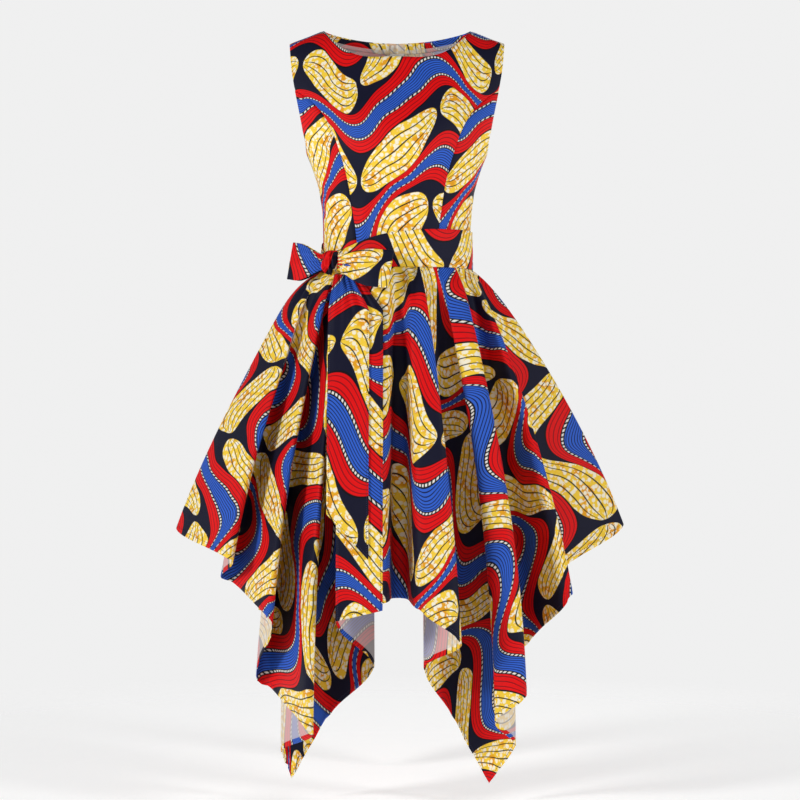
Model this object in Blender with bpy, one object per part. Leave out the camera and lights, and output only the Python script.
"""A sleeveless dress with a boat neck, a tied sash and a handkerchief hem, filled out as worn.

Metres, +Z up. The origin is midway between the shoulder tips, the front faces -Y and the wearer's left is +X.
An angle round the dress is 0 at the centre front, 90 at the wearer's left side and 180 at the centre back.
A drop is measured down from the shoulder line.
"""

from math import asin, cos, degrees, exp, pi, radians, sin, sqrt

import bmesh
import bpy
from mathutils import Matrix, Vector

MM = 0.001

# Cloth and seams
WALL = 0.0020
SEAM_GAP = 0.0003
SHOULDER_SEAM = 0.0020
TAPE_WALL = 0.0010
STEP = 0.00005

# Shoulders, neck and armholes
NECK_HALF = 0.121
SHOULDER_ROUND = 0.050
SHOULDER_SLOPE = 0.4057
SHOULDER_TOP = 0.0746
SLOPE_FADE = 0.150
NECK_DROP_FRONT = 0.0545
NECK_DROP_BACK = 0.0265
NECK_POWER_FRONT = 3.4
NECK_POWER_BACK = 1.9
ARMHOLE_NOTCH = 0.084
ARMHOLE_DEPTH = 0.185
SECTION_POWER = 0.87

# Waist, sash and skirt
WAIST_DROP = 0.345
BELT_TOP = 0.312
BELT_BOTTOM = 0.373
BELT_LIFT = 0.0012
KNOT_ANGLE = -58.0
SKIRT_LENGTH = 0.843
FLARE_START = 0.85
FLARE_FADE = 0.40
FLARE_POWER = 2.5
PUFF_ROUND = 0.004
PUFF_RIGHT = 0.011
PUFF_PEAK = 0.05
HEM_STEP = 0.038
FOLD_WIDTH = 0.014
FOLD_SHARE = 0.22
SKIRT_ROWS = 11

# Body sections, in millimetres: drop, half width, depth to the front, depth to the back
BODY_SECTIONS = [
    (0, 190, 0, 0),
    (3, 190, 17, 18),
    (8, 190, 30, 31),
    (18, 189.5, 46, 48),
    (35, 189, 64, 66),
    (58, 187, 81, 82),
    (84, 182, 98, 94),
    (100, 178, 108, 100),
    (120, 172, 120, 106),
    (140, 165, 129, 110),
    (160, 157, 135, 113),
    (185, 148, 138, 113),
    (205, 140, 133, 111),
    (233, 131, 121, 106),
    (262, 125, 109, 100),
    (290, 122.3, 102, 97),
    (330, 121.5, 99, 95),
    (352, 122, 100, 96),
    (400, 122, 100, 96),
]

# Armhole edge seen from the front, in millimetres: drop, half width
ARMHOLE_EDGE = [(0, 177), (50, 172), (84, 166)]

# Princess seam seen from the front, in millimetres: drop, half width
PRINCESS_SEAM = [(84, 166), (112, 133), (144, 110), (185, 94), (229, 81), (282, 72), (345, 64), (400, 60)]

# Hem corners from the wearer's right side round the front to the left side.
# Millimetres and degrees: name, x, depth to the front, height, angle where the fold leaves the waist
FRONT_HEM = [
    ("flap_right", -366, 0, -797, -88),
    ("column_1", -262, 150, -838, -68),
    ("valley_1", -276, 66, -878, -54),
    ("column_2", -197, 205, -926, -48),
    ("valley_2", -215, 92, -1044, -42),
    ("column_3", -134, 235, -1096, -39),
    ("turn_1", -179, 100, -1152, -31),
    ("tip_right", -167, 92, -1195, -29),
    ("rise_1", -116, 88, -1100, -25),
    ("turn_2", -41, 132, -1010, -20),
    ("turn_3", -98, 190, -935, -16),
    ("column_4", -80, 238, -913, -13),
    ("column_4b", -23, 250, -898, -6),
    ("centre", 5, 165, -898, 1),
    ("column_5", 34, 245, -908, 8),
    ("column_5b", 100, 250, -959, 13),
    ("turn_4", 47, 165, -1008, 16),
    ("rise_2", 97, 120, -1100, 18),
    ("tip_left", 147, 105, -1200, 20),
    ("turn_5", 182, 125, -1139, 23),
    ("turn_6", 153, 190, -1086, 29),
    ("column_6", 199, 200, -1051, 44),
    ("valley_3", 204, 60, -989, 52),
    ("column_7", 275, 150, -895, 66),
    ("valley_4", 267, 62, -869, 73),
    ("flap_left", 373, 0, -790, 88),
]

# Hem corners of the left back, from the side to the centre; the right back mirrors them
BACK_HEM = [
    ("back_column_1", 300, -130, -850, 103),
    ("back_valley_1", 245, -72, -900, 110),
    ("back_column_2", 238, -215, -955, 122),
    ("back_valley_2", 200, -112, -1015, 130),
    ("back_column_3", 168, -232, -1075, 138),
    ("back_tip", 146, -140, -1140, 147),
    ("back_turn", 72, -165, -1030, 157),
    ("back_column_4", 78, -240, -965, 167),
    ("back_centre", 0, -225, -900, 180),
]


def table_value(table, column, key):
    """Read one column of a table at a key in its first column, on a smooth curve through the rows."""
    rows = len(table)
    if key <= table[0][0]:
        return table[0][column]
    for index in range(rows - 1):
        low, high = table[index], table[index + 1]
        if key <= high[0]:
            break
    else:
        return table[-1][column]
    before = table[max(index - 1, 0)]
    after = table[min(index + 2, rows - 1)]
    span = high[0] - low[0]
    slope_low = (high[column] - before[column]) / (high[0] - before[0])
    slope_high = (after[column] - low[column]) / (after[0] - low[0])
    t = (key - low[0]) / span
    return (
        low[column] * (1 - 3 * t * t + 2 * t**3)
        + high[column] * (3 * t * t - 2 * t**3)
        + span * slope_low * t * (1 - t) ** 2
        - span * slope_high * t * t * (1 - t)
    )


def clamp(value, low, high):
    """Keep a value between two limits."""
    return max(low, min(high, value))


def signed_power(value, power):
    """Raise a value's size to a power and keep its sign."""
    return abs(value) ** power if value >= 0 else -(abs(value) ** power)


def body_point(angle, drop):
    """A point of the bodice's outer face at an angle in degrees and a drop from the shoulder line."""
    turn = radians(angle)
    column = 2 if cos(turn) >= 0 else 3
    half_width = table_value(BODY_SECTIONS, 1, drop / MM) * MM
    depth = table_value(BODY_SECTIONS, column, drop / MM) * MM
    x = half_width * signed_power(sin(turn), SECTION_POWER)
    y = -depth * signed_power(cos(turn), SECTION_POWER)
    fade = clamp(1 - drop / SLOPE_FADE, 0, 1) ** 2
    rise = SHOULDER_TOP - SHOULDER_SLOPE * sqrt(x * x + SHOULDER_ROUND**2)
    return Vector((x, y, fade * rise - drop))


def surface_normal(surface, first, second, first_step):
    """The outward normal of a surface, from points a small step away on both sides."""
    along = surface(first + first_step, second) - surface(first - first_step, second)
    down = surface(first, second + STEP) - surface(first, max(second - STEP, 0))
    return down.cross(along).normalized()


def body_offset(angle, drop, lift):
    """A point over the bodice's outer face, or under it where the lift is negative."""
    normal = surface_normal(body_point, angle, drop + STEP, 0.02)
    point = body_point(angle, drop) + normal * lift
    if drop < SHOULDER_SEAM:
        side = -1 if cos(radians(angle)) > 0 else 1
        point.y = side * max(side * point.y, SEAM_GAP / 2)
    return point


def angle_at(half_width, drop):
    """The angle from the centre front or back at which the section is so far from the middle."""
    share = clamp(half_width / (table_value(BODY_SECTIONS, 1, drop / MM) * MM), 0, 1)
    return degrees(asin(share ** (1 / SECTION_POWER)))


def outer_angle(drop):
    """The angle of the centre panel's side: the princess seam, and over the notch the armhole."""
    table = ARMHOLE_EDGE if drop < ARMHOLE_NOTCH else PRINCESS_SEAM
    return angle_at(table_value(table, 1, drop / MM) * MM, drop)


def armhole_angle(drop):
    """The angle of the armhole's lower half, from the notch down to the side seam."""
    share = clamp((drop - ARMHOLE_NOTCH) / (ARMHOLE_DEPTH - ARMHOLE_NOTCH), 0, 1)
    return 90 - (90 - outer_angle(ARMHOLE_NOTCH)) * sqrt(1 - share * share)


def neck_drop(share, deepest):
    """The drop of the top edge of a centre panel, at a share of its width from the middle."""
    power = NECK_POWER_FRONT if deepest == NECK_DROP_FRONT else NECK_POWER_BACK
    low, high = 0, deepest
    for _ in range(30):
        middle = (low + high) / 2
        x = body_point(share * outer_angle(middle), middle).x
        if middle < deepest * (1 - (abs(x) / NECK_HALF) ** power):
            low = middle
        else:
            high = middle
    return high


def armhole_drop(share):
    """The drop at which a column of the side panel meets the armhole, by halving the span."""
    low, high = ARMHOLE_NOTCH, ARMHOLE_DEPTH
    for _ in range(30):
        middle = (low + high) / 2
        column = 90 - share * (90 - outer_angle(middle))
        if column > armhole_angle(middle):
            low = middle
        else:
            high = middle
    return high


LOWER_ROWS = 10
UPPER_ROWS = 6
NOTCH_ROW = (WAIST_DROP - ARMHOLE_NOTCH) / WAIST_DROP
NECK_SHARE = angle_at(NECK_HALF, 0) / outer_angle(0)


def centre_rows():
    """Row heights of a centre panel, 0 at the waist and 1 at its top edge, close together at the shoulder."""
    lower = [NOTCH_ROW * row / LOWER_ROWS for row in range(LOWER_ROWS + 1)]
    upper = [1 - (1 - NOTCH_ROW) * ((UPPER_ROWS - row) / UPPER_ROWS) ** 2 for row in range(1, UPPER_ROWS + 1)]
    return lower + upper


def centre_column(share, deepest, facing, gap):
    """Angles and drops down a column of a centre panel; facing is 0 at the front and 180 at the back."""
    top = neck_drop(abs(share), deepest)
    column = []
    for row in centre_rows():
        drop = WAIST_DROP - SEAM_GAP / 2 - row * (WAIST_DROP - top - SEAM_GAP)
        reach = outer_angle(drop)
        angle = clamp(share * reach, gap - reach, reach - gap)
        column.append((facing + angle, drop))
    return column


def side_column(share, gap):
    """Angles and drops down a column of a side panel, 0 at the side seam and 1 at the princess seam."""
    top = armhole_drop(share)
    column = []
    for row in range(LOWER_ROWS + 1):
        height = row / LOWER_ROWS
        drop = WAIST_DROP - SEAM_GAP / 2 - height * (WAIST_DROP - SEAM_GAP / 2 - top)
        reach = 90 - outer_angle(drop)
        column.append((90 - clamp(share * reach, gap, reach - gap), drop))
    return column


def add_object(name, mesh, material):
    """Put a mesh in the scene as a named object with a material."""
    thing = bpy.data.objects.new(name, mesh)
    thing.data.materials.append(material)
    bpy.context.scene.collection.objects.link(thing)
    return thing


def make_material(name, colour, roughness, metallic):
    """A Principled BSDF with a colour, a roughness and a metallic value."""
    material = bpy.data.materials.new(name)
    material.use_nodes = True
    shader = material.node_tree.nodes["Principled BSDF"]
    shader.inputs["Base Color"].default_value = (*colour, 1)
    shader.inputs["Roughness"].default_value = roughness
    shader.inputs["Metallic"].default_value = metallic
    return material


def wall(name, outer, inner, material, closed=False):
    """A closed wall between two sets of columns of points; a short column meets the start of a long one."""
    size = sum(len(column) for column in outer)
    starts = [sum(len(column) for column in outer[:index]) for index in range(len(outer))]
    quads = []
    pairs = len(outer) if closed else len(outer) - 1
    for index in range(pairs):
        following = (index + 1) % len(outer)
        for row in range(min(len(outer[index]), len(outer[following])) - 1):
            near, far = starts[index] + row, starts[following] + row
            quads.append((near, far, far + 1, near + 1))
    edges = {(quad[corner], quad[(corner + 1) % 4]) for quad in quads for corner in range(4)}
    rim = sorted((a, b) for a, b in edges if (b, a) not in edges)
    faces = list(quads)
    faces += [tuple(size + corner for corner in reversed(quad)) for quad in quads]
    faces += [(b, a, a + size, b + size) for a, b in rim]
    points = [point for column in outer for point in column]
    points += [point for column in inner for point in column]
    mesh = bpy.data.meshes.new(name)
    mesh.from_pydata(points, [], faces)
    build = bmesh.new()
    build.from_mesh(mesh)
    bmesh.ops.recalc_face_normals(build, faces=build.faces)
    build.to_mesh(mesh)
    build.free()
    mesh.shade_smooth()
    mesh.set_sharp_from_angle(angle=radians(50))
    return add_object(name, mesh, material)


def body_wall(name, columns, material, closed=False, lift=0.0, thickness=WALL):
    """A wall on the bodice's form, from columns of angles and drops."""
    outer = [[body_offset(angle, drop, lift) for angle, drop in column] for column in columns]
    inner = [[body_offset(angle, drop, lift - thickness) for angle, drop in column] for column in columns]
    return wall(name, outer, inner, material, closed)


SEAM_ANGLE = degrees(SEAM_GAP / 2 / 0.070)
NECK_COLUMNS = 6
STRAP_COLUMNS = 3
SIDE_COLUMNS = 6


def centre_shares():
    """Shares of a centre panel's half width, with one column on the neck point."""
    neck = [NECK_SHARE * column / NECK_COLUMNS for column in range(NECK_COLUMNS)]
    strap = [NECK_SHARE + (1 - NECK_SHARE) * column / STRAP_COLUMNS for column in range(STRAP_COLUMNS + 1)]
    return neck + strap


def side_shares():
    """Shares of a side panel's width, from the princess seam to the side seam."""
    return [1 - column / SIDE_COLUMNS for column in range(SIDE_COLUMNS + 1)]


def mirrored(columns):
    """The same columns on the wearer's other side."""
    return [[(-angle, drop) for angle, drop in column] for column in columns]


def bodice_front(material):
    """The centre front between the princess seams, with the neckline and both shoulders."""
    half = centre_shares()
    shares = [-share for share in reversed(half[1:])] + half
    columns = [centre_column(share, NECK_DROP_FRONT, 0, SEAM_ANGLE) for share in shares]
    body_wall("bodice_front", columns, material)


def bodice_side_fronts(material):
    """The two side fronts, from the princess seam to the side seam."""
    columns = [side_column(share, SEAM_ANGLE) for share in side_shares()]
    body_wall("bodice_side_front_left", columns, material)
    body_wall("bodice_side_front_right", mirrored(columns), material)


def bodice_backs(material):
    """The two halves of the back, each one piece from the centre back to the side seam."""
    centre = [centre_column(-share, NECK_DROP_BACK, 180, 0) for share in centre_shares()]
    centre[0] = [(180 - degrees(SEAM_GAP / 2 / 0.1), drop) for _, drop in centre[0]]
    side = [side_column(share, 0 if share == 1 else SEAM_ANGLE) for share in side_shares()]
    side = [[(180 - angle, drop) for angle, drop in column] for column in side[1:]]
    columns = centre + side
    body_wall("bodice_back_left", columns, material)
    body_wall("bodice_back_right", mirrored(columns), material)


FACING_HEIGHT = 0.010
FACING_DEPTH = 0.0012
FACING_END = 0.0136
FACING_COLUMNS = 8


def back_neck_facings(material):
    """The narrow turned band inside the back neckline, one each side of the zip."""
    outer_share = NECK_SHARE * 0.97
    inner_share = angle_at(FACING_END, NECK_DROP_BACK) / outer_angle(NECK_DROP_BACK)
    columns = []
    for index in range(FACING_COLUMNS + 1):
        share = inner_share + (outer_share - inner_share) * index / FACING_COLUMNS
        top = neck_drop(share, NECK_DROP_BACK) + 2 * SEAM_GAP
        angle = 180 - share * outer_angle(top)
        columns.append([(angle, top + FACING_HEIGHT), (angle, top)])
    for name, side in (("left", columns), ("right", mirrored(columns))):
        body_wall(
            f"back_neck_facing_{name}",
            side,
            material,
            lift=-WALL - FACING_DEPTH,
            thickness=TAPE_WALL,
        )


def hem_loop():
    """All hem corners in order round the dress, each drawn out to a fold of its own width along the hem."""
    left_back = [row[1:] for row in BACK_HEM]
    right_back = [(-x, depth, height, 360 - angle) for x, depth, height, angle in reversed(left_back[:-1])]
    rows = [row[1:] for row in FRONT_HEM] + left_back + right_back
    corners = [(Vector((x, -depth)) * MM, height * MM, angle) for x, depth, height, angle in rows]
    loop = []
    for index, (plan, height, angle) in enumerate(corners):
        before, after = corners[index - 1], corners[(index + 1) % len(corners)]
        arriving, leaving = (plan - before[0]).normalized(), (after[0] - plan).normalized()
        along = (arriving + leaving).normalized() * FOLD_WIDTH / 2
        turn = FOLD_SHARE * min((angle - before[2]) % 360, (after[2] - angle) % 360)
        loop.append((plan - along, height, angle - turn))
        loop.append((plan + along, height, angle + turn))
    return loop


HEM = hem_loop()


def through(points, knots, t):
    """A point of a centripetal curve through four points, between the middle two."""
    a = points[0].lerp(points[1], (t - knots[0]) / (knots[1] - knots[0]))
    b = points[1].lerp(points[2], (t - knots[1]) / (knots[2] - knots[1]))
    c = points[2].lerp(points[3], (t - knots[2]) / (knots[3] - knots[2]))
    d = a.lerp(b, (t - knots[0]) / (knots[2] - knots[0]))
    e = b.lerp(c, (t - knots[1]) / (knots[3] - knots[1]))
    return d.lerp(e, (t - knots[1]) / (knots[2] - knots[1]))


def hem_corner(place):
    """Plan position, height and waist angle of the hem at a place, counted in loop points round the dress."""
    index = int(place // 1)
    share = place - index
    rows = [HEM[(index + step) % len(HEM)] for step in (-1, 0, 1, 2)]
    knots = [0.0]
    for first, second in zip(rows, rows[1:]):
        knots.append(knots[-1] + sqrt((second[0] - first[0]).length))
    plan = through([row[0] for row in rows], knots, knots[1] + share * (knots[2] - knots[1]))
    turn = (rows[2][2] - rows[1][2]) % 360
    return plan, rows[1][1] + share * (rows[2][1] - rows[1][1]), rows[1][2] + share * turn


def flare(drop):
    """How far the skirt has spread at a drop, from 0 at the sash's lower edge."""
    u = max(0, drop - BELT_BOTTOM) / SKIRT_LENGTH
    return (u**FLARE_START - FLARE_FADE * u**FLARE_POWER) / (1 - FLARE_FADE)


def skirt_point(place, drop):
    """A point of the skirt's outer face at a place round the hem loop and a drop from the shoulder line."""
    plan, height, angle = hem_corner(place)
    waist = body_point(angle, WAIST_DROP).to_2d()
    outward = waist.normalized()
    u = max(0, drop - BELT_BOTTOM) / SKIRT_LENGTH / PUFF_PEAK
    puff = (PUFF_ROUND + PUFF_RIGHT * max(0, -sin(radians(angle))) ** 4) * u * exp(1 - u)
    spot = waist + (plan - waist) * (flare(drop) / flare(-height)) + outward * puff
    return Vector((spot.x, spot.y, -drop))


def skirt_along(place, drop):
    """The skirt's level direction at a place and a drop."""
    return (skirt_point(place + 0.01, drop) - skirt_point(place - 0.01, drop)).normalized()


def skirt_offset(place, drop, lift):
    """A point over the skirt's outer face, or under it where the lift is negative."""
    down = skirt_point(place, drop + STEP) - skirt_point(place, drop - STEP)
    return skirt_point(place, drop) + down.cross(skirt_along(place, drop)).normalized() * lift


def hem_places(start, end):
    """Places along the hem between two loop points, in steps of about the hem step."""
    places = []
    for corner in range(start, end):
        length = (hem_corner(corner + 1)[0] - hem_corner(corner)[0]).length
        steps = max(1, round(length / HEM_STEP))
        places += [corner + step / steps for step in range(steps)]
    return places + [end]


def skirt_drops(place):
    """Drops down the skirt from the waist seam to the hem, with one row on the sash's lower edge."""
    hem = -hem_corner(place)[1]
    drops = [WAIST_DROP + SEAM_GAP / 2, BELT_BOTTOM]
    drops += [BELT_BOTTOM + (hem - BELT_BOTTOM) * row / SKIRT_ROWS for row in range(1, SKIRT_ROWS + 1)]
    return drops


SIDE_SEAM = 0.18
FRONT_END = 2 * len(FRONT_HEM) - 1
CENTRE_BACK = FRONT_END + 2 * len(BACK_HEM) - 0.5
LOOP_END = len(HEM)


def skirt_panel(name, places, material):
    """One skirt panel as a wall between two seams, drawn back from each by half the seam gap."""
    outer, inner = [], []
    for index, place in enumerate(places):
        inward = (index == 0) - (index == len(places) - 1)
        drops = skirt_drops(place)
        shifts = [skirt_along(place, drop) * inward * SEAM_GAP / 2 for drop in drops]
        outer.append([skirt_point(place, drop) + shift for drop, shift in zip(drops, shifts)])
        inner.append([skirt_offset(place, drop, -WALL) + shift for drop, shift in zip(drops, shifts)])
    wall(name, outer, inner, material)


def skirt(material):
    """The front and the two backs, seamed just behind the side flaps and at the centre back."""
    front = [-SIDE_SEAM] + hem_places(0, FRONT_END) + [FRONT_END + SIDE_SEAM]
    left = [FRONT_END + SIDE_SEAM] + hem_places(FRONT_END, int(CENTRE_BACK))[1:] + [CENTRE_BACK]
    right = [CENTRE_BACK] + hem_places(int(CENTRE_BACK) + 1, LOOP_END)[:-1] + [LOOP_END - SIDE_SEAM]
    skirt_panel("skirt_front", front, material)
    skirt_panel("skirt_back_left", left, material)
    skirt_panel("skirt_back_right", right, material)


BELT_ANGLES = 48
BELT_ROWS = 4
KNOT_SPREAD = 42.0
KNOT_TOP = 0.350


def belt_edges(angle):
    """Drops of the sash's upper and lower edge, which draw together towards the knot."""
    away = abs((angle - KNOT_ANGLE + 180) % 360 - 180)
    pull = exp(-((away / KNOT_SPREAD) ** 2))
    return BELT_TOP + (KNOT_TOP - BELT_TOP) * pull, BELT_BOTTOM


def belt_band(material):
    """The sash round the waist, one closed ring that narrows at the knot."""
    columns = []
    for index in range(BELT_ANGLES):
        angle = 360 * index / BELT_ANGLES - 180
        top, bottom = belt_edges(angle)
        columns.append([(angle, bottom + (top - bottom) * row / BELT_ROWS) for row in range(BELT_ROWS + 1)])
    body_wall("belt_band", columns, material, closed=True, lift=BELT_LIFT + WALL)


KNOT_SIZE = Vector((0.030, 0.022, 0.034))
KNOT_CENTRE = Vector((-0.1060, -0.0794, -0.3655))
KNOT_TURN = 44.0
KNOT_RINGS = 12
KNOT_SECTORS = 16
KNOT_POWER = 0.75


def bow_knot(material):
    """The knot, a rounded block that sits over the narrowed sash."""
    build = bmesh.new()
    bmesh.ops.create_uvsphere(build, u_segments=KNOT_SECTORS, v_segments=KNOT_RINGS, radius=1)
    for vertex in build.verts:
        for axis in range(3):
            vertex.co[axis] = signed_power(vertex.co[axis], KNOT_POWER) * KNOT_SIZE[axis] / 2
    turn = Matrix.Rotation(radians(-KNOT_TURN), 4, "Z")
    bmesh.ops.transform(build, matrix=Matrix.Translation(KNOT_CENTRE) @ turn, verts=build.verts)
    mesh = bpy.data.meshes.new("bow_knot")
    build.to_mesh(mesh)
    build.free()
    mesh.shade_smooth()
    add_object("bow_knot", mesh, material)


LOOP_WIDTH = 0.060
LOOP_ROOT_WIDTH = 0.024
LOOP_WIDENING = 1.6
LOOP_LAYER = 0.007
LOOP_STEPS = 8
LOOP_TURN_STEPS = 4
LOOP_ROWS = 4

# Bow loops, in millimetres and degrees: name, root and end as x, y and z, heading of the front layer,
# bulge of the front layer, lean of the end fold
BOW_LOOPS = [
    ("bow_loop_left", -94.0, -91.5, -366.0, -12.0, -140.0, -379.0, 200.4, 16.0, 0.42),
    ("bow_loop_right", -117.4, -68.3, -364.0, -170.0, -33.0, -360.0, 218.5, 6.0, 0.25),
]


def loop_path(root, end, outward, bulge):
    """Plan points and shares of a bow loop: out along the front layer, round its end and back behind."""
    reach = end - root
    half = LOOP_LAYER / 2
    path = []
    for step in range(LOOP_STEPS + 1):
        share = step / LOOP_STEPS
        path.append((root + reach * share + outward * (half + bulge * sin(pi * share)), share))
    for step in range(1, LOOP_TURN_STEPS):
        turn = pi * step / LOOP_TURN_STEPS
        path.append((end + (outward * cos(turn) + reach.normalized() * sin(turn)) * half, 1))
    path += [(point - outward * LOOP_LAYER, share) for point, share in reversed(path[: LOOP_STEPS + 1])]
    return path


def bow_loop(name, root, end, outward, bulge, lean, material):
    """A loop of the sash: a strip that leaves the knot, folds at its end and comes back to the knot."""
    path = loop_path(root, end, outward, bulge)
    outer, inner = [], []
    for index, (point, share) in enumerate(path):
        before = path[max(index - 1, 0)][0]
        after = path[min(index + 1, len(path) - 1)][0]
        normal = (after - before).normalized().cross(Vector((0, 0, 1))).normalized()
        width = LOOP_ROOT_WIDTH + (LOOP_WIDTH - LOOP_ROOT_WIDTH) * min(1, LOOP_WIDENING * share)
        column = []
        for row in range(LOOP_ROWS + 1):
            height = (row / LOOP_ROWS - 0.5) * width
            column.append(point + Vector((0, 0, height)) - outward * height * lean * share)
        outer.append(column)
        inner.append([spot - normal * WALL for spot in column])
    wall(name, outer, inner, material)


def bow_loops(material):
    """Both loops of the bow, the left one over the front and the right one past the side."""
    for name, *sizes in BOW_LOOPS:
        root = Vector(sizes[0:3]) * MM
        end = Vector(sizes[3:6]) * MM
        heading, bulge, lean = sizes[6:]
        outward = Vector((sin(radians(heading)), cos(radians(heading)), 0))
        bow_loop(name, root, end, outward, bulge * MM, lean, material)


TAIL_ROWS = 12
TAIL_COLUMNS = 4
TAIL_CLEAR = 0.0018
TAIL_APART = 0.0033
TAIL_TOP = 0.3860
SASH_REACH = (-0.112, -0.018)
SASH_LEVEL = 0.030
SASH_LAST = 0.960
SASH_ROOT = 0.012
SASH_GATHER = 0.42
SASH_SPREAD = 10.0

# Sash ends, in millimetres: name, left edge, right edge, drop of the left and of the right corner, layer
SASH_ENDS = [
    ("belt_tail_back", -93, -22, 925, 908, 0),
    ("belt_tail_front", -108, -44, 762, 831, 1),
]


def sash_x(x, drop):
    """Where a line of the sash end hangs at a drop, drawn together towards the knot."""
    root = KNOT_CENTRE.x + SASH_ROOT
    return root + (x - root) * min(1, SASH_GATHER + SASH_SPREAD * (drop - TAIL_TOP))


def front_reach(drop):
    """How far the skirt reaches to the front behind the sash ends at a drop."""
    low, high = (sash_x(edge, drop) for edge in SASH_REACH)
    reach = 0.0
    for step in range(6 * FRONT_END):
        place = step / 6
        spot = skirt_point(place, min(drop, -hem_corner(place)[1]))
        if -spot.z > drop - SASH_LEVEL and low < spot.x < high:
            reach = max(reach, -spot.y)
    return reach


def sash_end(name, left, right, left_drop, right_drop, layer, levels, material):
    """One hanging end of the sash, lying on the skirt below the knot."""
    outer, inner = [], []
    for column in range(TAIL_COLUMNS + 1):
        across = column / TAIL_COLUMNS
        end = left_drop + (right_drop - left_drop) * across
        front, back = [], []
        for row in range(TAIL_ROWS + 1):
            drop = TAIL_TOP + (end - TAIL_TOP) * row / TAIL_ROWS
            x = sash_x(left + (right - left) * across, drop)
            depth = table_value(levels, 1, drop) + TAIL_CLEAR + layer * TAIL_APART
            front.append(Vector((x, -depth - WALL, -drop)))
            back.append(Vector((x, -depth, -drop)))
        outer.append(front)
        inner.append(back)
    wall(name, outer, inner, material)


def sash_ends(material):
    """Both hanging ends of the sash, on one shared line over the skirt."""
    levels = []
    drop = TAIL_TOP
    while drop < SASH_LAST:
        levels.append((drop, front_reach(drop)))
        drop += SASH_LEVEL
    for name, left, right, left_drop, right_drop, layer in SASH_ENDS:
        sash_end(name, left * MM, right * MM, left_drop * MM, right_drop * MM, layer, levels, material)


ZIP_SKIRT_ROWS = 3
TAPE_TOP = 0.0300
TAPE_WIDTH = 0.0120
TAPE_INNER = 0.0006
TAPE_SLANT = 0.0010
TAPE_COLUMNS = 2


def back_skirt_place(x, drop):
    """The place near the centre back at which the skirt is so far from the middle, by halving the span."""
    low, high = CENTRE_BACK - 1.0, float(CENTRE_BACK)
    for _ in range(30):
        middle = (low + high) / 2
        if skirt_point(middle, drop).x > x:
            low = middle
        else:
            high = middle
    return (low + high) / 2


def tape_point(x, drop, lift):
    """A point under the centre back at a distance from the zip, on the bodice or on the skirt."""
    if drop > WAIST_DROP:
        return skirt_offset(back_skirt_place(x, drop), drop, lift)
    return body_offset(180 - angle_at(x, drop), drop, lift)


def zip_drops():
    """Drops down the zip, on the rows of the back panel and of the skirt below it."""
    bodice = [drop for _, drop in centre_column(0, NECK_DROP_BACK, 180, 0)]
    covered = [drop for drop in reversed(bodice) if drop > TAPE_TOP]
    return covered + skirt_drops(CENTRE_BACK)[: ZIP_SKIRT_ROWS + 2]


def zip_tapes(material):
    """The two tapes inside the centre back, from the neck to below the waist, with their ends cut aslant."""
    outer, inner = [], []
    for column in range(TAPE_COLUMNS + 1):
        x = TAPE_INNER + (TAPE_WIDTH - TAPE_INNER) * column / TAPE_COLUMNS
        drops = zip_drops()
        drops[0] += TAPE_SLANT * (1 - column / TAPE_COLUMNS)
        outer.append([tape_point(x, drop, -WALL - SEAM_GAP) for drop in drops])
        inner.append([tape_point(x, drop, -WALL - SEAM_GAP - TAPE_WALL) for drop in drops])
    flip = Matrix.Scale(-1, 4, Vector((1, 0, 0)))
    wall("zip_tape_left", outer, inner, material)
    wall(
        "zip_tape_right",
        [[flip @ point for point in column] for column in outer],
        [[flip @ point for point in column] for column in inner],
        material,
    )


SLIDER_DROP = 0.040
SLIDER_SIZE = Vector((0.0070, 0.0024, 0.0090))
EAR_INSIDE = 0.0015
EAR_WALL = 0.0010
EAR_REACH = 0.0036
EAR_HEIGHT = 0.0034
PIVOT_OUT = 0.0020
PIVOT_UP = 0.0020
PULL_THICK = 0.0012

# Pull tab's edge, in millimetres: height over the pivot, half width
PULL_EDGE = [(1.1, 1.1), (-3.5, 1.1), (-4.5, 2.1), (-12.6, 2.4), (-20.8, 2.8), (-23.0, 1.6)]


def slider_frame():
    """The matrix of the zip slider: its own Y points out of the back and its Z up along the seam."""
    base = body_point(180, SLIDER_DROP)
    down = (body_point(180, SLIDER_DROP + 0.02) - body_point(180, SLIDER_DROP)).normalized()
    side = Vector((1, 0, 0))
    up = -down
    out = up.cross(side).normalized()
    turn = Matrix((side, out, up)).transposed().to_4x4()
    return Matrix.Translation(base + out * (SLIDER_SIZE.y / 2 + SEAM_GAP * 2)) @ turn


def box(build, low, high):
    """Add a box between two corners to a mesh under construction."""
    made = bmesh.ops.create_cube(build, size=1)["verts"]
    for vertex in made:
        for axis in range(3):
            vertex.co[axis] = low[axis] if vertex.co[axis] < 0 else high[axis]


def outline_block(build, outline, half):
    """Extrude an outline in the slider's Y and Z by half its width to each side of the middle."""
    rings = [[build.verts.new((x, y, z)) for y, z in outline] for x in (-half, half)]
    count = len(outline)
    build.faces.new(rings[0])
    build.faces.new(list(reversed(rings[1])))
    for index in range(count):
        following = (index + 1) % count
        build.faces.new((rings[0][following], rings[0][index], rings[1][index], rings[1][following]))


def finish_hardware(name, build, frame, material):
    """Turn a mesh under construction into a placed object."""
    bmesh.ops.recalc_face_normals(build, faces=build.faces)
    bmesh.ops.transform(build, matrix=frame, verts=build.verts)
    mesh = bpy.data.meshes.new(name)
    build.to_mesh(mesh)
    build.free()
    mesh.shade_smooth()
    mesh.set_sharp_from_angle(angle=radians(35))
    return add_object(name, mesh, material)


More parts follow.
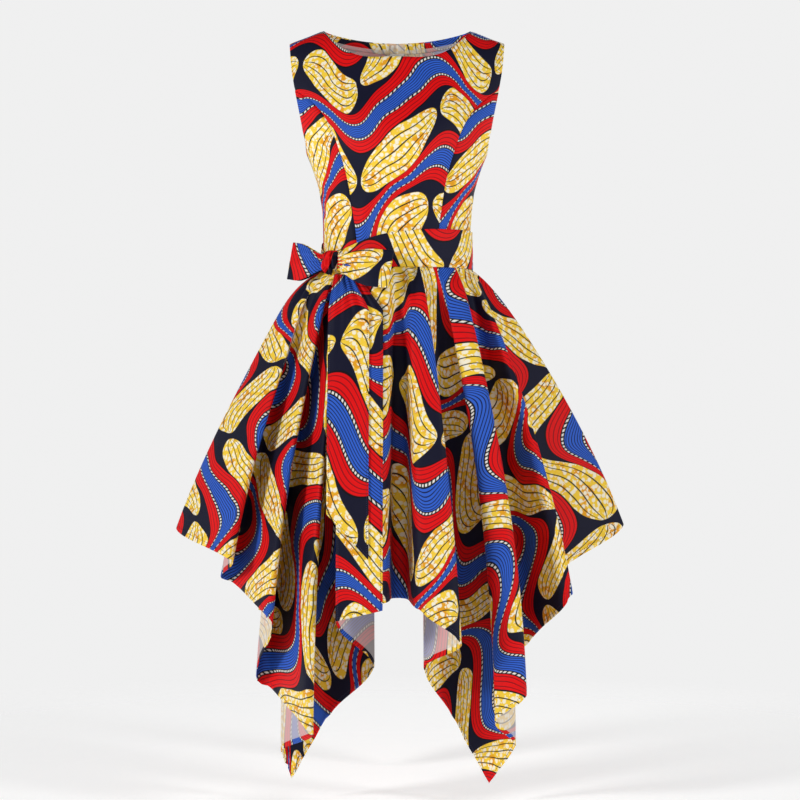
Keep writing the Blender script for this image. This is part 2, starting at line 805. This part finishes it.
def zip_slider(material):
    """The slider's body, with two ears that carry the pull."""
    half = SLIDER_SIZE / 2
    frame = slider_frame()
    build = bmesh.new()
    outline = [
        (-half.y, -half.z),
        (half.y, -half.z),
        (half.y, PIVOT_UP - EAR_HEIGHT / 2),
        (half.y + EAR_REACH, PIVOT_UP - EAR_HEIGHT / 2),
        (half.y + EAR_REACH, PIVOT_UP + EAR_HEIGHT / 2),
        (half.y, half.z),
        (-half.y, half.z),
    ]
    outline_block(build, outline, EAR_INSIDE + EAR_WALL)
    slider = finish_hardware("zip_slider", build, frame, material)
    cut = bmesh.new()
    box(cut, (-EAR_INSIDE, half.y, -half.z - MM), (EAR_INSIDE, half.y + EAR_REACH + MM, half.z + MM))
    cutter = finish_hardware("slider_slot_cutter", cut, frame, material)
    cutter.hide_render = True
    cutter.display_type = "WIRE"
    slot = slider.modifiers.new("slot", "BOOLEAN")
    slot.operation = "DIFFERENCE"
    slot.object = cutter


def zip_pull(material):
    """The pull tab, with its neck between the slider's ears, lying down along the seam."""
    build = bmesh.new()
    half = PULL_THICK / 2
    edge = [(width * MM, z * MM) for z, width in PULL_EDGE]
    edge += [(-width, z) for width, z in reversed(edge)]
    rings = [[build.verts.new((x, y, z)) for x, z in edge] for y in (-half, half)]
    build.faces.new(rings[0])
    build.faces.new(list(reversed(rings[1])))
    count = len(edge)
    for index in range(count):
        following = (index + 1) % count
        build.faces.new((rings[0][following], rings[0][index], rings[1][index], rings[1][following]))
    pivot = Vector((0, SLIDER_SIZE.y / 2 + PIVOT_OUT, PIVOT_UP))
    finish_hardware("zip_pull", build, slider_frame() @ Matrix.Translation(pivot), material)


def clear_scene():
    """Remove what the file opened with."""
    for thing in list(bpy.data.objects):
        bpy.data.objects.remove(thing, do_unlink=True)


# Materials: name, linear red, green and blue, roughness, metallic
MATERIALS = [
    ("bodice_cloth", 0.36, 0.10, 0.10, 0.75, 0),
    ("skirt_cloth", 0.30, 0.09, 0.12, 0.75, 0),
    ("sash_cloth", 0.55, 0.36, 0.14, 0.75, 0),
    ("facing_cloth", 0.42, 0.12, 0.10, 0.80, 0),
    ("tape_cloth", 0.78, 0.76, 0.72, 0.85, 0),
    ("zip_enamel", 0.05, 0.05, 0.10, 0.35, 0.6),
]


def main():
    """Build every piece of the dress."""
    clear_scene()
    made = {row[0]: make_material(row[0], row[1:4], row[4], row[5]) for row in MATERIALS}
    bodice_front(made["bodice_cloth"])
    bodice_side_fronts(made["bodice_cloth"])
    bodice_backs(made["bodice_cloth"])
    back_neck_facings(made["facing_cloth"])
    skirt(made["skirt_cloth"])
    belt_band(made["sash_cloth"])
    bow_knot(made["sash_cloth"])
    bow_loops(made["sash_cloth"])
    sash_ends(made["sash_cloth"])
    zip_tapes(made["tape_cloth"])
    zip_slider(made["zip_enamel"])
    zip_pull(made["zip_enamel"])


main()
